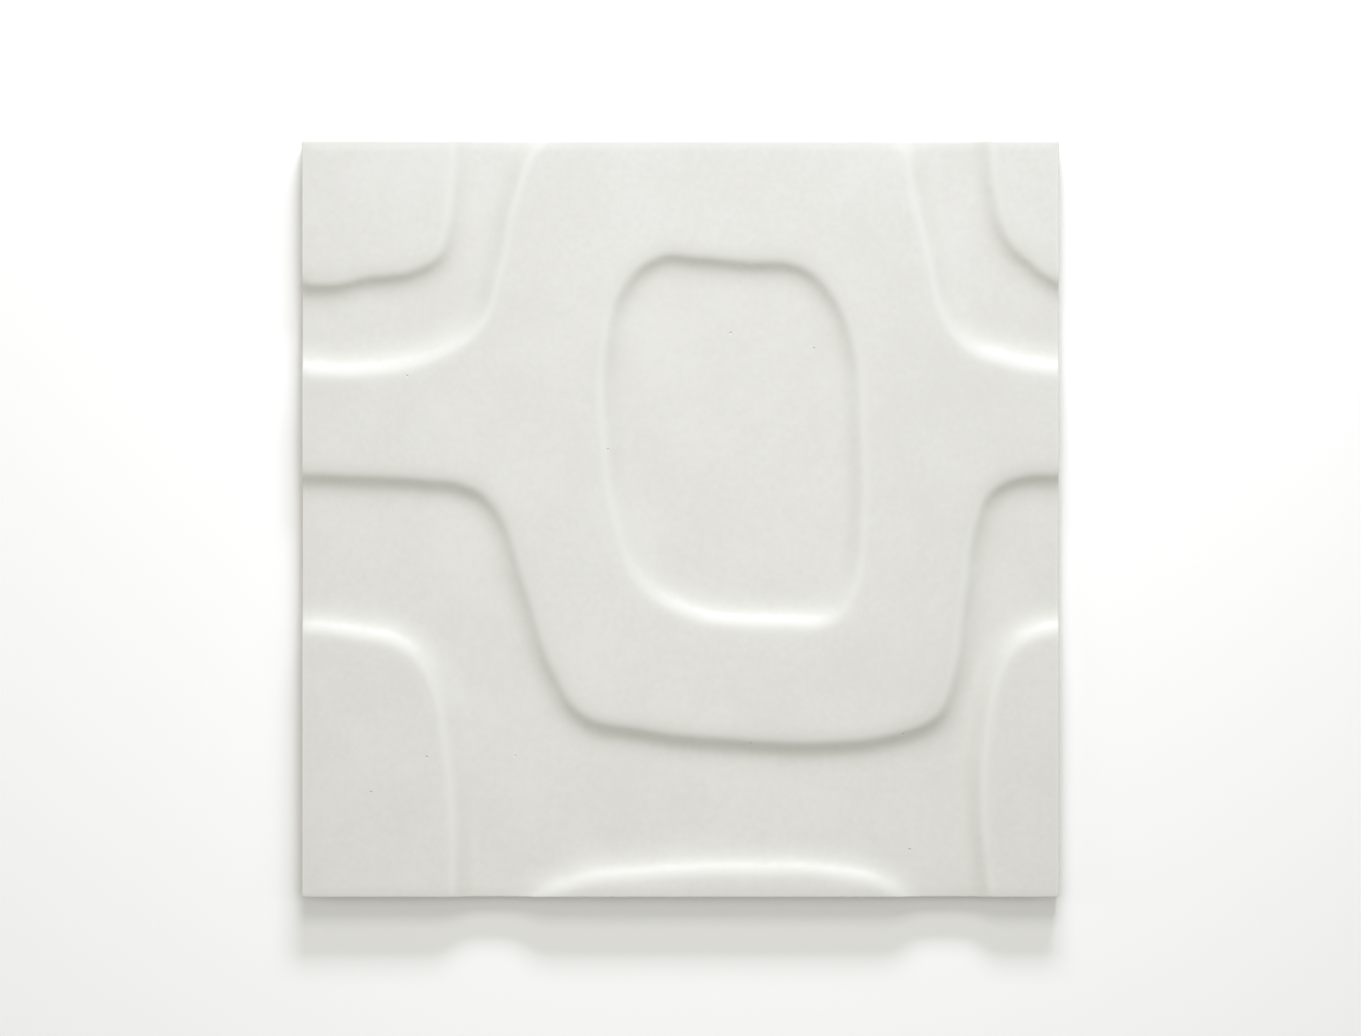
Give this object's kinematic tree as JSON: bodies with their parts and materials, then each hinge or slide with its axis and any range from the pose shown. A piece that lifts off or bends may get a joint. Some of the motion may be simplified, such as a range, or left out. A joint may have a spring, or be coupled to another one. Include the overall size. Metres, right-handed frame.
{
  "type": "relief wall tile",
  "caption": "Square white glazed ceramic wall tile with soft raised and sunk rounded areas that carry on across its joints from tile to tile",
  "frame": {"origin": "centre of the flat back, which is the bottom of the part as it lies", "axes": "+X to the right of the pattern, +Y to the top of the pattern, +Z out of the glazed face"},
  "size_m": [0.3048, 0.3048, 0.0127],
  "materials": {
    "glazed_tile": "thick warm white glaze, satin gloss"
  },
  "bodies": {
    "root": {"tile": "glazed_tile"}
  },
  "joints": []
}
